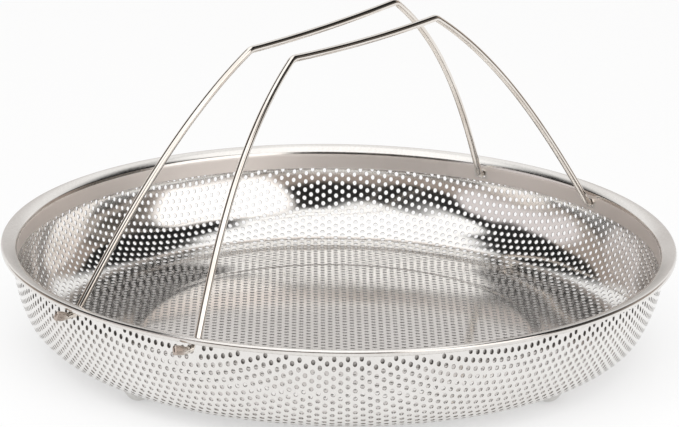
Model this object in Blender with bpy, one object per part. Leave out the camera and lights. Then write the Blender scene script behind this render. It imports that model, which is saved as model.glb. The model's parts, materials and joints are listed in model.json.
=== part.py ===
"""Steamer basket: a shallow perforated steel bowl with a rolled rim, four feet and two wire bails.

Metres, +Z up. X runs along both bail axes, the basket stands on its feet at z = 0 and its
middle is at x = y = 0. Negative y is called the front.
"""

import math

import bmesh
import bpy
import numpy as np
from mathutils import Vector
from mathutils.geometry import delaunay_2d_cdt

# Bowl, all over the outer face of the sheet
FOOT_HEIGHT = 0.0034            # from the ground to the underside of the floor
BOWL_DEPTH = 0.0344             # from the underside of the floor to the top of the rim
WALL_TOP_LEAN_DEG = 7.5         # lean of the bulging wall just below the rim
WALL_FOOT_LEAN_DEG = 27.0       # lean of the wall where the corner begins
CORNER_RADIUS = 0.0180          # between wall and floor
SHEET_THICKNESS = 0.0005
CENTRE_RADIUS = 0.0710          # pressed-up middle of the floor
CENTRE_RISE = 0.0008
CENTRE_SLOPE_WIDTH = 0.0060     # of the slope around the pressed middle

# Perforation, on the flat blank before it is drawn into a bowl
HOLE_PITCH = 0.0137             # rows 60 degrees apart
HOLE_DIAMETER = 0.0097          # over the corners of a six-sided hole
HOLE_SIDES = 6
PATTERN_TURN_DEG = 40.5         # turn of the hole columns from the X axis
RIM_WEB = 0.0005                # plain sheet between the outermost holes and the rim, at least

# Rim, one strip folded over the upper edge of the sheet
RIM_RADIUS = 0.1200
FLANGE_WIDTH = 0.0045           # from the outer face of the gripped sheet to the rim's edge
STRIP_THICKNESS = 0.0005
FLANGE_SLOPE_DEG = 17.0         # the flange rises outwards
EDGE_BULGE = 0.00025            # the rolled outer edge is rounder than the folded strip by this
BEND_RADIUS = 0.0012            # between the flange and the inner leg, on the open side
INNER_LEG_DEPTH = 0.0084        # below the top of the rim
OUTER_LEG_DEPTH = 0.0034        # below the top of the rim
SEAT_GAP = 0.0003               # clearance between touching pieces

# Bails
WIRE_DIAMETER = 0.0025
BACK_AXIS_Y = 0.0225            # distance of each bail's axis from the middle
FRONT_AXIS_Y = -0.0303
PIVOT_CLEARANCE = 0.00035       # all round the wire in its hole
PIVOT_WEB = 0.0004              # between the outer leg and a pivot hole
BAIL_HEIGHT = 0.0832            # from the axis to the ends of the grip bar
GRIP_HALF_LENGTH = 0.0390       # to the corner between the grip bar and an arm
GRIP_SAG = 0.0010               # the grip bar hangs through by this much in its middle
BACK_GRIP_RISE = 0.0015         # the back bail's grip bar stands higher by this at +x, lower at -x
FRONT_GRIP_RISE = 0.0
ARM_BOW = 0.0067                # each arm bulges outwards by this much
ARM_BOW_BIAS = 0.26             # share by which the arms bow more near the grip and less near the axis
GRIP_BEND_RADIUS = 0.0045
EYE_BEND_RADIUS = 0.0025        # where an arm turns out into its pivot hole
ARM_WALL_CLEARANCE = 0.0015     # from the inner leg to the middle of the arm's lowest bend
STUB_LENGTH = 0.0080            # of the wire outside the bowl
SPADE_LENGTH = 0.0060           # flattened end that keeps the wire in its hole
SPADE_WIDTH = 0.0033
SPADE_THICKNESS = 0.0016
SPADE_RISE = 0.0016             # the flattened end is bent up by this much
BACK_LEAN_DEG = 9.9             # how far each bail leans to the middle as it stands
FRONT_LEAN_DEG = 13.6

# Feet
FOOT_ANGLES_DEG = (-3.0, 87.0, 174.5, 269.5)
FOOT_INSET = 0.0250             # from the rim's edge to the middle of each foot
FOOT_RADIUS = 0.0045

# Facets
ROUND_STEPS = 72
BEND_STEPS = 4
ARM_STEPS = 20
GRIP_STEPS = 7                  # odd, so that no point lies in the bar's middle
WIRE_SIDES = 8
TIP_ROUNDING = 0.7              # share of the section left at the wire's very tip
PIVOT_HOLE_SIDES = 12
FOOT_STEPS = 12

RIM_TOP = FOOT_HEIGHT + BOWL_DEPTH
BEAD_RADIUS = STRIP_THICKNESS + EDGE_BULGE
WALL_RADIUS = RIM_RADIUS - FLANGE_WIDTH
FOOT_CIRCLE_RADIUS = RIM_RADIUS - FOOT_INSET
PIVOT_HOLE_RADIUS = WIRE_DIAMETER / 2 + PIVOT_CLEARANCE
AXIS_Z = RIM_TOP - OUTER_LEG_DEPTH - PIVOT_WEB - PIVOT_HOLE_RADIUS
INNER_LEG_OUTER = WALL_RADIUS - SHEET_THICKNESS - SEAT_GAP
INNER_LEG_INNER = INNER_LEG_OUTER - STRIP_THICKNESS
OUTER_LEG_INNER = WALL_RADIUS + SEAT_GAP
OUTER_LEG_OUTER = OUTER_LEG_INNER + STRIP_THICKNESS


def clear_scene():
    for item in list(bpy.data.objects):
        bpy.data.objects.remove(item, do_unlink=True)


def metal(name, colour, roughness):
    material = bpy.data.materials.new(name)
    material.use_nodes = True
    shader = material.node_tree.nodes["Principled BSDF"]
    shader.inputs["Base Color"].default_value = (*colour, 1.0)
    shader.inputs["Metallic"].default_value = 1.0
    shader.inputs["Roughness"].default_value = roughness
    return material


def link_object(name, mesh, material=None):
    item = bpy.data.objects.new(name, mesh)
    bpy.context.scene.collection.objects.link(item)
    if material is not None:
        mesh.materials.append(material)
    return item


def smooth(mesh, sharp_above_deg=35.0):
    mesh.shade_smooth()
    mesh.set_sharp_from_angle(angle=math.radians(sharp_above_deg))


def arc(centre, radius, start_deg, end_deg, steps):
    """Points of a circular arc, both ends included."""
    angles = np.radians(np.linspace(start_deg, end_deg, steps + 1))
    return [(centre[0] + radius * math.cos(a), centre[1] + radius * math.sin(a)) for a in angles]


def revolve(name, outline, steps, material=None):
    """A closed outline of (radius, height) points turned once around Z."""
    build = bmesh.new()
    points = [build.verts.new((radius, 0.0, height)) for radius, height in outline]
    edges = [build.edges.new((points[i - 1], points[i])) for i in range(len(points))]
    bmesh.ops.spin(
        build,
        geom=points + edges,
        cent=(0, 0, 0),
        axis=(0, 0, 1),
        angle=2 * math.pi,
        steps=steps,
        use_merge=True,
    )
    bmesh.ops.remove_doubles(build, verts=build.verts, dist=1e-6)
    bmesh.ops.recalc_face_normals(build, faces=build.faces)
    mesh = bpy.data.meshes.new(name)
    build.to_mesh(mesh)
    build.free()
    return link_object(name, mesh, material)


# The bowl: a flat perforated blank, drawn to its profile


def bowl_profile(samples=600):
    """Outer face of the sheet from the middle of the floor to its upper edge, as (radius, height).

    From the rim down, one long arc takes the wall from its top lean to its foot lean, and the
    corner arc takes it on to the flat floor. The long arc's radius follows from the height
    that is left for it.
    """
    top_lean = math.radians(WALL_TOP_LEAN_DEG)
    foot_lean = math.radians(WALL_FOOT_LEAN_DEG)
    grip_bottom = RIM_TOP - INNER_LEG_DEPTH - 2 * SEAT_GAP
    corner_top = FOOT_HEIGHT + CORNER_RADIUS * (1 - math.sin(foot_lean))
    bulge = (grip_bottom - corner_top) / (math.sin(foot_lean) - math.sin(top_lean))
    wall = (WALL_RADIUS - bulge * math.cos(top_lean), grip_bottom + bulge * math.sin(top_lean))
    floor_edge = wall[0] + (bulge - CORNER_RADIUS) * math.cos(foot_lean)
    corner = (floor_edge, FOOT_HEIGHT + CORNER_RADIUS)
    floor = [(r, FOOT_HEIGHT + centre_rise(r)) for r in np.linspace(0.0, floor_edge, samples)]
    lower = arc(corner, CORNER_RADIUS, -90.0, -WALL_FOOT_LEAN_DEG, samples)
    upper = arc(wall, bulge, -WALL_FOOT_LEAN_DEG, -WALL_TOP_LEAN_DEG, samples)
    return np.array(floor + lower[1:] + upper[1:] + [(WALL_RADIUS, sheet_top())])


def centre_rise(radius):
    """Height of the pressed middle over the floor: a raised disc with an S-shaped edge."""
    across = (CENTRE_RADIUS + CENTRE_SLOPE_WIDTH / 2 - radius) / CENTRE_SLOPE_WIDTH
    across = min(max(across, 0.0), 1.0)
    return CENTRE_RISE * across * across * (3 - 2 * across)


def sheet_top():
    return RIM_TOP - STRIP_THICKNESS * 2 - BEND_RADIUS - SEAT_GAP


class Draw:
    """How the flat blank becomes the bowl.

    Drawing keeps the area of the sheet: the blank inside radius rho has the area of the
    bowl inside the profile length that rho ends up at. So the holes on the wall are
    squeezed around the bowl and stretched up the wall, as on the real sheet.
    """

    def __init__(self):
        self.profile = bowl_profile()
        radius = self.profile[:, 0]
        length = np.hypot(*np.diff(self.profile, axis=0).T)
        area = np.concatenate([[0.0], np.cumsum((radius[1:] + radius[:-1]) * length)])
        self.blank_radius = np.sqrt(area)

    def place(self, x, y):
        rho = math.hypot(x, y)
        radius = float(np.interp(rho, self.blank_radius, self.profile[:, 0]))
        height = float(np.interp(rho, self.blank_radius, self.profile[:, 1]))
        if rho < 1e-9:
            return (0.0, 0.0, height)
        return (x / rho * radius, y / rho * radius, height)


def lattice(reach):
    """Sites in rows 60 degrees apart out to a blank radius, and the points midway between three."""
    turn = math.radians(PATTERN_TURN_DEG)
    along = Vector((math.cos(turn), math.sin(turn))) * HOLE_PITCH
    across = Vector((math.cos(turn + math.pi / 3), math.sin(turn + math.pi / 3))) * HOLE_PITCH
    count = int(2 * reach / HOLE_PITCH) + 2
    steps = range(-count, count + 1)
    sites = [i * along + j * across for i in steps for j in steps]
    midways = [s + (along + across) / 3 for s in sites] + [s + (2 * across - along) / 3 for s in sites]
    return [s for s in sites if s.length < reach], [m for m in midways if m.length < reach]


def distances(points, middle):
    return np.hypot(*(points - np.array(tuple(middle))).T)


def perforated_blank(draw):
    """Triangles of the flat blank around its holes, as 2-D points and faces.

    The holes stand on every lattice site that leaves a web to the rim. The plain band outside
    them gets points at the sites left over, so that it bends as smoothly as the rest.
    """
    edge = float(draw.blank_radius[-1])
    grip = float(draw.blank_radius[-2])
    hole_radius = HOLE_DIAMETER / 2
    first_corner = math.radians(PATTERN_TURN_DEG) + math.pi / HOLE_SIDES
    sites, midways = lattice(grip - RIM_WEB)
    centres = [s for s in sites if s.length < grip - RIM_WEB - hole_radius]
    hole_table = np.array([tuple(c) for c in centres])
    plain_sites = [s for s in sites if distances(hole_table, s).min() > hole_radius + RIM_WEB]
    near = HOLE_PITCH * 0.6
    plain_midways = [m for m in midways if np.sum(distances(hole_table, m) < near) < 3]
    points = []
    edges = []

    def add_loop(loop):
        first = len(points)
        points.extend(loop)
        edges.extend((first + i, first + (i + 1) % len(loop)) for i in range(len(loop)))

    for radius in (edge, grip):
        angles = [2 * math.pi * i / ROUND_STEPS for i in range(ROUND_STEPS)]
        add_loop([Vector((radius * math.cos(a), radius * math.sin(a))) for a in angles])
    for centre in centres:
        angles = [first_corner + 2 * math.pi * i / HOLE_SIDES for i in range(HOLE_SIDES)]
        add_loop([centre + hole_radius * Vector((math.cos(a), math.sin(a))) for a in angles])
    points.extend(plain_sites + plain_midways)
    result = delaunay_2d_cdt(points, edges, [], 0, 1e-7)
    flat_points, faces = result[0], result[2]
    flat_side = hole_radius * math.cos(math.pi / HOLE_SIDES)
    kept = []
    for face in faces:
        middle = sum((flat_points[i] for i in face), Vector((0.0, 0.0))) / len(face)
        in_hole = distances(hole_table, middle).min() < flat_side
        if middle.length < edge and not in_hole:
            kept.append(face)
    return flat_points, kept, len(centres)


def pivot_cutter(name, axis_y):
    """A rod along a bail's axis, as thick as the pivot holes, which cuts both of them."""
    build = bmesh.new()
    bmesh.ops.create_cone(
        build,
        cap_ends=True,
        segments=PIVOT_HOLE_SIDES,
        radius1=PIVOT_HOLE_RADIUS,
        radius2=PIVOT_HOLE_RADIUS,
        depth=2.2 * RIM_RADIUS,
    )
    mesh = bpy.data.meshes.new(name)
    build.to_mesh(mesh)
    build.free()
    cutter = link_object(name, mesh)
    cutter.location = (0.0, axis_y, AXIS_Z)
    cutter.rotation_euler = (0.0, math.pi / 2, 0.0)
    cutter.hide_render = True
    cutter.display_type = "WIRE"
    return cutter


def cut(item, cutter):
    modifier = item.modifiers.new("cut by " + cutter.name, "BOOLEAN")
    modifier.object = cutter
    modifier.operation = "DIFFERENCE"
    modifier.solver = "EXACT"


def make_bowl(draw, cutters):
    flat_points, faces, hole_count = perforated_blank(draw)
    build = bmesh.new()
    verts = [build.verts.new(draw.place(p.x, p.y)) for p in flat_points]
    for face in faces:
        build.faces.new([verts[i] for i in face])
    loose = [v for v in build.verts if not v.link_faces]
    bmesh.ops.delete(build, geom=loose, context="VERTS")
    bmesh.ops.recalc_face_normals(build, faces=build.faces)
    lowest = min(build.faces, key=lambda f: f.calc_center_median().z)
    if lowest.normal.z > 0:
        bmesh.ops.reverse_faces(build, faces=build.faces)
    mesh = bpy.data.meshes.new("perforated_bowl")
    build.to_mesh(mesh)
    build.free()
    smooth(mesh)
    bowl = link_object("perforated_bowl", mesh, metal("polished sheet", (0.80, 0.78, 0.75), 0.22))
    wall = bowl.modifiers.new("sheet thickness", "SOLIDIFY")
    wall.thickness = SHEET_THICKNESS
    wall.offset = -1.0
    wall.use_even_offset = True
    for cutter in cutters:
        cut(bowl, cutter)
    print("holes in the sheet:", hole_count)
    return bowl


# The rim: one strip with an inner leg, a flange, a rolled edge and a short outer leg


def rim_outline():
    slope = math.radians(FLANGE_SLOPE_DEG)
    along = Vector((math.cos(slope), math.sin(slope)))
    upward = Vector((-math.sin(slope), math.cos(slope)))
    bead = Vector((RIM_RADIUS - BEAD_RADIUS, RIM_TOP - BEAD_RADIUS))
    flange_top = bead + upward * BEAD_RADIUS
    flange_under = flange_top - upward * 2 * STRIP_THICKNESS

    def height_at(point, radius):
        return point.y + (radius - point.x) * math.tan(slope)

    bend_r = INNER_LEG_INNER + BEND_RADIUS
    bend_z = height_at(flange_top, bend_r) - BEND_RADIUS / math.cos(slope)
    outline = [(INNER_LEG_INNER, RIM_TOP - INNER_LEG_DEPTH)]
    outline += arc((bend_r, bend_z), BEND_RADIUS, 180.0, 90.0 + FLANGE_SLOPE_DEG, BEND_STEPS)
    under_deg = math.degrees(math.asin((2 * STRIP_THICKNESS - BEAD_RADIUS) / BEAD_RADIUS))
    bead_end = -180.0 + under_deg + FLANGE_SLOPE_DEG
    outline += arc(bead, BEAD_RADIUS, 90.0 + FLANGE_SLOPE_DEG, bead_end, BEND_STEPS + 1)
    outline += [
        (OUTER_LEG_OUTER, height_at(flange_under, OUTER_LEG_OUTER)),
        (OUTER_LEG_OUTER, RIM_TOP - OUTER_LEG_DEPTH),
        (OUTER_LEG_INNER, RIM_TOP - OUTER_LEG_DEPTH),
        (OUTER_LEG_INNER, sheet_top() + SEAT_GAP),
        (INNER_LEG_OUTER, sheet_top() + SEAT_GAP),
        (INNER_LEG_OUTER, RIM_TOP - INNER_LEG_DEPTH),
    ]
    return outline


def make_rim(cutters):
    rim = revolve("rim_ring", rim_outline(), ROUND_STEPS, metal("satin strip", (0.78, 0.78, 0.77), 0.38))
    smooth(rim.data)
    for cutter in cutters:
        cut(rim, cutter)
    return rim


# The bails: one wire each, bent to a trapezoid with bowed arms


def fillet(corner, toward_start, toward_end, radius, steps):
    """Points of a bend that replaces a sharp corner between two directions."""
    half = toward_start.angle(toward_end) / 2
    reach = radius / math.tan(half)
    start = corner + toward_start * reach
    end = corner + toward_end * reach
    centre = corner + (toward_start + toward_end).normalized() * (radius / math.sin(half))
    turn = math.pi - 2 * half
    points = []
    for i in range(steps + 1):
        share = i / steps
        a = (start - centre) * math.sin((1 - share) * turn)
        b = (end - centre) * math.sin(share * turn)
        points.append(centre + (a + b) / math.sin(turn))
    return points, reach


def bowed_line(start, end, bow, steps, bias=0.0):
    """Points of a parabola from start to end that bulges by bow to its left.

    A bias makes it bulge more near the start and less near the end.
    """
    span = end - start
    left = Vector((-span.y, span.x)).normalized()
    points = []
    for i in range(steps + 1):
        share = i / steps
        points.append(start + span * share + left * bow * 4 * share * (1 - share) * (1 + bias * (1 - 2 * share)))
    return points


def bail_half(axis_y, grip_rise):
    """Middle line of one half of a bail in its own plane, as points (along the axis, up).

    It runs from the flattened end through the pivot hole, up the arm and to the middle of the
    grip bar, whose end stands grip_rise higher than its middle.
    """
    low = Vector((math.sqrt(INNER_LEG_INNER**2 - axis_y**2) - ARM_WALL_CLEARANCE, 0.0))
    high = Vector((GRIP_HALF_LENGTH, BAIL_HEIGHT + grip_rise))
    far_high = Vector((-GRIP_HALF_LENGTH, BAIL_HEIGHT - grip_rise))
    arm = bowed_line(high, low, ARM_BOW, ARM_STEPS, ARM_BOW_BIAS)
    grip = bowed_line(far_high, high, -GRIP_SAG, GRIP_STEPS)
    arm_at_low = (arm[-2] - arm[-1]).normalized()
    arm_at_high = (arm[1] - arm[0]).normalized()
    grip_at_high = (grip[-2] - grip[-1]).normalized()
    eye, eye_reach = fillet(low, Vector((1.0, 0.0)), arm_at_low, EYE_BEND_RADIUS, BEND_STEPS)
    bend, bend_reach = fillet(high, arm_at_high, grip_at_high, GRIP_BEND_RADIUS, BEND_STEPS)
    arm_middle = [p for p in arm if (p - low).length > eye_reach and (p - high).length > bend_reach]
    grip_middle = [p for p in grip if (p - high).length > bend_reach and p.x > 0.0]
    stub = [spade_point(share, stub_end(axis_y)) for share in (1.0, 0.95, 0.35, 0.0)]
    return stub + eye + arm_middle[::-2] + bend + grip_middle[::-1]


def bail_path(axis_y, grip_rise):
    """Middle line of a whole bail, from its end at +x to its end at -x."""
    other = [Vector((-p.x, p.y)) for p in bail_half(axis_y, -grip_rise)]
    return bail_half(axis_y, grip_rise) + other[::-1]


def stub_end(axis_y):
    """Where the wire ends outside the bowl, along the axis."""
    return math.sqrt(WALL_RADIUS**2 - axis_y**2) + STUB_LENGTH


def spade_point(share, stub_x):
    """Middle of the flattened end, from its root at share 0 to its tip at share 1."""
    return Vector((stub_x - SPADE_LENGTH * (1 - share), SPADE_RISE * share))


def wire_half_sizes(x, stub_x):
    """Half the wire's size in the bail's plane and across it, at a distance along the axis."""
    radius = WIRE_DIAMETER / 2
    share = (abs(x) - (stub_x - SPADE_LENGTH)) / (SPADE_LENGTH * 0.35)
    share = min(max(share, 0.0), 1.0)
    wide = radius + share * (SPADE_WIDTH / 2 - radius)
    thin = radius + share * (SPADE_THICKNESS / 2 - radius)
    return wide, thin


def make_bail(name, axis_y, lean_deg, grip_rise, material):
    """lean_deg is positive where the bail leans towards positive y."""
    path = bail_path(axis_y, grip_rise)
    stub_x = stub_end(axis_y)
    build = bmesh.new()
    rings = []
    for i, point in enumerate(path):
        before = path[max(i - 1, 0)]
        after = path[min(i + 1, len(path) - 1)]
        tangent = (after - before).normalized()
        side = Vector((-tangent.y, tangent.x))
        wide, thin = wire_half_sizes(point.x, stub_x)
        if i in (0, len(path) - 1):
            wide, thin = wide * TIP_ROUNDING, thin * TIP_ROUNDING
        ring = []
        for k in range(WIRE_SIDES):
            angle = 2 * math.pi * (k + 0.5) / WIRE_SIDES
            offset = side * wide * math.cos(angle)
            across = thin * math.sin(angle)
            ring.append(build.verts.new((point.x + offset.x, across, point.y + offset.y)))
        rings.append(ring)
    for first, second in zip(rings[:-1], rings[1:]):
        for k in range(WIRE_SIDES):
            n = (k + 1) % WIRE_SIDES
            build.faces.new((first[k], first[n], second[n], second[k]))
    build.faces.new(rings[0][::-1])
    build.faces.new(rings[-1])
    bmesh.ops.recalc_face_normals(build, faces=build.faces)
    mesh = bpy.data.meshes.new(name)
    build.to_mesh(mesh)
    build.free()
    bail = link_object(name, mesh, material)
    smooth(mesh, 50.0)
    bail.location = (0.0, axis_y, AXIS_Z)
    bail.rotation_euler = (-math.radians(lean_deg), 0.0, 0.0)
    return bail


# The feet: small domes under the corner of the bowl


def foot_seat_cutter(draw):
    """The space above the feet: everything inside the bowl's outer face and the seat gap."""
    profile = draw.profile
    keep = profile[:, 0] > FOOT_CIRCLE_RADIUS - 2 * FOOT_RADIUS
    face = profile[keep][:-2]
    face = face[face[:, 0] < FOOT_CIRCLE_RADIUS + 2 * FOOT_RADIUS]
    tangent = np.gradient(face, axis=0)
    tangent /= np.hypot(*tangent.T)[:, None]
    outward = np.stack([tangent[:, 1], -tangent[:, 0]], axis=1)
    face = (face + outward * SEAT_GAP)[:: max(len(face) // 10, 1)]
    top = RIM_TOP
    outline = [(float(r), float(z)) for r, z in face]
    outline += [(outline[-1][0], top), (outline[0][0], top)]
    cutter = revolve("foot seat", outline, 2 * ROUND_STEPS)
    cutter.hide_render = True
    cutter.display_type = "WIRE"
    return cutter


def make_foot(name, angle, seat, material):
    """A dome with its round side down, cut to the bowl's curve on top."""
    build = bmesh.new()
    rise = FOOT_HEIGHT
    dome_radius = (FOOT_RADIUS**2 + rise**2) / (2 * rise)
    open_deg = math.degrees(math.asin(FOOT_RADIUS / dome_radius))
    outline = arc((0.0, dome_radius), dome_radius, -90.0, -90.0 + open_deg, BEND_STEPS)
    top = rise + FOOT_RADIUS / 2
    outline = outline[1:] + [(FOOT_RADIUS, top)]
    rings = []
    for radius, height in outline:
        angles = [2 * math.pi * k / FOOT_STEPS for k in range(FOOT_STEPS)]
        rings.append([build.verts.new((radius * math.cos(a), radius * math.sin(a), height)) for a in angles])
    for first, second in zip(rings[:-1], rings[1:]):
        for k in range(FOOT_STEPS):
            n = (k + 1) % FOOT_STEPS
            build.faces.new((first[k], first[n], second[n], second[k]))
    build.faces.new(rings[0][::-1])
    build.faces.new(rings[-1])
    lowest = min(v.co.z for v in build.verts)
    for vert in build.verts:
        vert.co.z -= lowest
    bmesh.ops.recalc_face_normals(build, faces=build.faces)
    mesh = bpy.data.meshes.new(name)
    build.to_mesh(mesh)
    build.free()
    foot = link_object(name, mesh, material)
    smooth(mesh)
    foot.location = (FOOT_CIRCLE_RADIUS * math.cos(angle), FOOT_CIRCLE_RADIUS * math.sin(angle), 0.0)
    foot.rotation_euler = (0.0, 0.0, angle)
    cut(foot, seat)
    return foot


def main():
    clear_scene()
    draw = Draw()
    cutters = [pivot_cutter("back pivot", BACK_AXIS_Y), pivot_cutter("front pivot", FRONT_AXIS_Y)]
    make_bowl(draw, cutters)
    make_rim(cutters)
    wire = metal("drawn wire", (0.70, 0.66, 0.60), 0.25)
    make_bail("back_bail", BACK_AXIS_Y, -BACK_LEAN_DEG, BACK_GRIP_RISE, wire)
    make_bail("front_bail", FRONT_AXIS_Y, FRONT_LEAN_DEG, FRONT_GRIP_RISE, wire)
    foot_metal = metal("pressed foot", (0.72, 0.71, 0.69), 0.3)
    seat = foot_seat_cutter(draw)
    for i, angle_deg in enumerate(FOOT_ANGLES_DEG):
        make_foot("foot_%d" % (i + 1), math.radians(angle_deg), seat, foot_metal)


main()
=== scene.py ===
# %% [markdown]
# # A steamer basket in polished perforated steel
#
# The basket is a shallow bowl drawn from perforated sheet. A folded strip clamps its upper edge
# and two wire bails swing in holes below that strip. Four pressed domes keep it off the pot's
# bottom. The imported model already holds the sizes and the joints. This lesson dresses it: it
# makes the sheet with all its small holes, the strip, the wires and the domes as fine surfaces.

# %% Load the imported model
import json
import math

import bpy
import numpy as np
from mathutils import Euler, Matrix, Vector
from mathutils.geometry import delaunay_2d_cdt


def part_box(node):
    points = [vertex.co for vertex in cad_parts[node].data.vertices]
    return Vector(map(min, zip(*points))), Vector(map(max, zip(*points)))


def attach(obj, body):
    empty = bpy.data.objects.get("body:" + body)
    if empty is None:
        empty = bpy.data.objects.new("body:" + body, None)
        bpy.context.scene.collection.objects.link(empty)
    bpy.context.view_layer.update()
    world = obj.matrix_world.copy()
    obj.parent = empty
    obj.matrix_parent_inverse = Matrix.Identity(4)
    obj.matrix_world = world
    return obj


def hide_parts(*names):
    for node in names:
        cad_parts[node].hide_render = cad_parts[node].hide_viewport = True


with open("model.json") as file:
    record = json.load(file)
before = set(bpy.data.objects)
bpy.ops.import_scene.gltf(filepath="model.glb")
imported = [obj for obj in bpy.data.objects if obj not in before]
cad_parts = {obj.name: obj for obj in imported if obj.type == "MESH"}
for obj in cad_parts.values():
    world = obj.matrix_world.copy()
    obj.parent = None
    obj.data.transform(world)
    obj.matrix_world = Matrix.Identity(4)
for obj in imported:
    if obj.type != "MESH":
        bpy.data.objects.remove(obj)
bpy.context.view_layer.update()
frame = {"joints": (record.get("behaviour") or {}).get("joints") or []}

# %% [markdown]
# ## Sizes
#
# Every length is in metres, with Z up and X along the axes that the bails turn on. The overall
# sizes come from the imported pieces, so the fine surfaces land exactly where the solids are. The
# rest are the maker's own sizes, such as the depth of the strip's legs.

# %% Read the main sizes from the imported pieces
rim_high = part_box("rim_ring")[1]
bowl_low, bowl_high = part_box("perforated_bowl")
RIM_RADIUS = rim_high.x
RIM_TOP = rim_high.z
FLOOR_HEIGHT = bowl_low.z
WALL_RADIUS = bowl_high.x
SHEET_TOP = bowl_high.z
SHEET_THICKNESS = 0.0005
PIVOTS = {joint["child"]: joint["pos_m"] for joint in frame["joints"]}
print("rim radius %.1f mm, height %.1f mm" % (RIM_RADIUS * 1000, RIM_TOP * 1000))
print("bail axes at y = %s mm" % [round(p[1] * 1000, 1) for p in PIVOTS.values()])

# %% [markdown]
# ## From arrays to a mesh
#
# All pieces are worked out as whole arrays of points and faces. One helper puts them into a
# mesh. Faces come as arrays of three or four corners, anticlockwise as seen from outside.
# Normals can be given for each corner, which keeps reflections clean on a sheet full of holes.


# %% A mesh from arrays
def add_object(name, data):
    """An object made from its data and linked to the scene."""
    thing = bpy.data.objects.new(name, data)
    bpy.context.scene.collection.objects.link(thing)
    return thing


def make_piece(
    name, points, faces, body, replaced, normals=None, corner_uv=None, crease_deg=35.0,
):
    """A piece from arrays: points (n, 3), faces as a list of (k, 3) or (k, 4) index arrays.

    normals holds a direction for each corner of each face, in order; a zero direction there
    leaves that corner to the faces around it.
    """
    mesh = bpy.data.meshes.new(name)
    sides = np.concatenate([np.full(len(f), f.shape[1]) for f in faces])
    corners = np.concatenate([f.ravel() for f in faces]).astype(np.int32)
    mesh.vertices.add(len(points))
    mesh.loops.add(len(corners))
    mesh.polygons.add(len(sides))
    mesh.vertices.foreach_set("co", np.asarray(points, np.float32).ravel())
    mesh.loops.foreach_set("vertex_index", corners)
    starts = np.concatenate([[0], np.cumsum(sides)[:-1]]).astype(np.int32)
    mesh.polygons.foreach_set("loop_start", starts)
    mesh.polygons.foreach_set("use_smooth", np.ones(len(sides), bool))
    mesh.update(calc_edges=True)
    if corner_uv is not None:
        layer = mesh.uv_layers.new(name="surface")
        layer.uv.foreach_set("vector", np.asarray(corner_uv, np.float32).ravel())
    if normals is None:
        mesh.set_sharp_from_angle(angle=math.radians(crease_deg))
    else:
        mesh.normals_split_custom_set(np.asarray(normals, np.float32).tolist())
    piece = add_object(name, mesh)
    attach(piece, body)
    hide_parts(replaced)
    triangles = int((sides - 2).sum())
    print("%s: %d points, %d triangles" % (name, len(points), triangles))
    return piece


def mark_points(piece, label, values):
    """A value from 0 to 1 on each point of a piece, for a finish to read."""
    layer = piece.data.attributes.new(label, "FLOAT", "POINT")
    layer.data.foreach_set("value", values.astype(np.float32))


# %% Rings, grids and fans
def full_turn(steps):
    """The angles of one turn in equal steps."""
    return 2 * math.pi * np.arange(steps) / steps


def on_circle(angles):
    """Points of the unit circle: cosine and sine."""
    return np.stack([np.cos(angles), np.sin(angles)], axis=1)


def ring_edges(numbers):
    """Each number with the next one round its ring, for one ring or a row of rings."""
    return np.stack([numbers, np.roll(numbers, -1, axis=-1)], axis=-1).reshape(-1, 2)


def turned_grid(rows, columns):
    """Quads of a grid that closes both ways, as index arrays of shape (rows, columns, 4)."""
    i, j = np.meshgrid(np.arange(rows), np.arange(columns), indexing="ij")
    here, later = i * columns, (i + 1) % rows * columns
    later_j = (j + 1) % columns
    return np.stack([here + j, later + j, later + later_j, here + later_j], axis=2)


def fan(tip, ring):
    """Triangles from a tip to each edge of a closed ring of points."""
    return np.stack([np.full(len(ring), tip), ring, np.roll(ring, -1)], axis=1)


# %% [markdown]
# ## The bowl's profile
#
# A press draws the bowl from a flat disc. Its wall is one long arc that bulges a little, a
# corner arc takes it on to the floor, and the middle of the floor is pressed up by less than a
# millimetre. The profile could be drawn by hand as a curve, but a formula keeps it the same
# all round and gives the length of the sheet, which the next step needs.

# %% The profile of the sheet
WALL_TOP_LEAN = math.radians(7.5)
WALL_FOOT_LEAN = math.radians(27.0)
CORNER_RADIUS = 0.0180
INNER_LEG_DEPTH = 0.0084
SEAT_GAP = 0.0003
CENTRE_RADIUS = 0.0710
CENTRE_RISE = 0.0008
CENTRE_SLOPE_WIDTH = 0.0060
PROFILE_STEP = 0.0001
SOFTENING = 0.0024
FLOOR_POINTS = 900
ARC_STEPS = 300


def arc(centre, radius, start_deg, end_deg, steps):
    """Points of a circular arc: the centre plus the radius times cosine and sine."""
    return centre + radius * on_circle(np.radians(np.linspace(start_deg, end_deg, steps + 1)))


def smoothstep(x):
    """Rises from 0 to 1 without a corner: three x squared minus two x cubed, held at both ends."""
    x = np.clip(x, 0.0, 1.0)
    return x * x * (3 - 2 * x)


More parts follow.
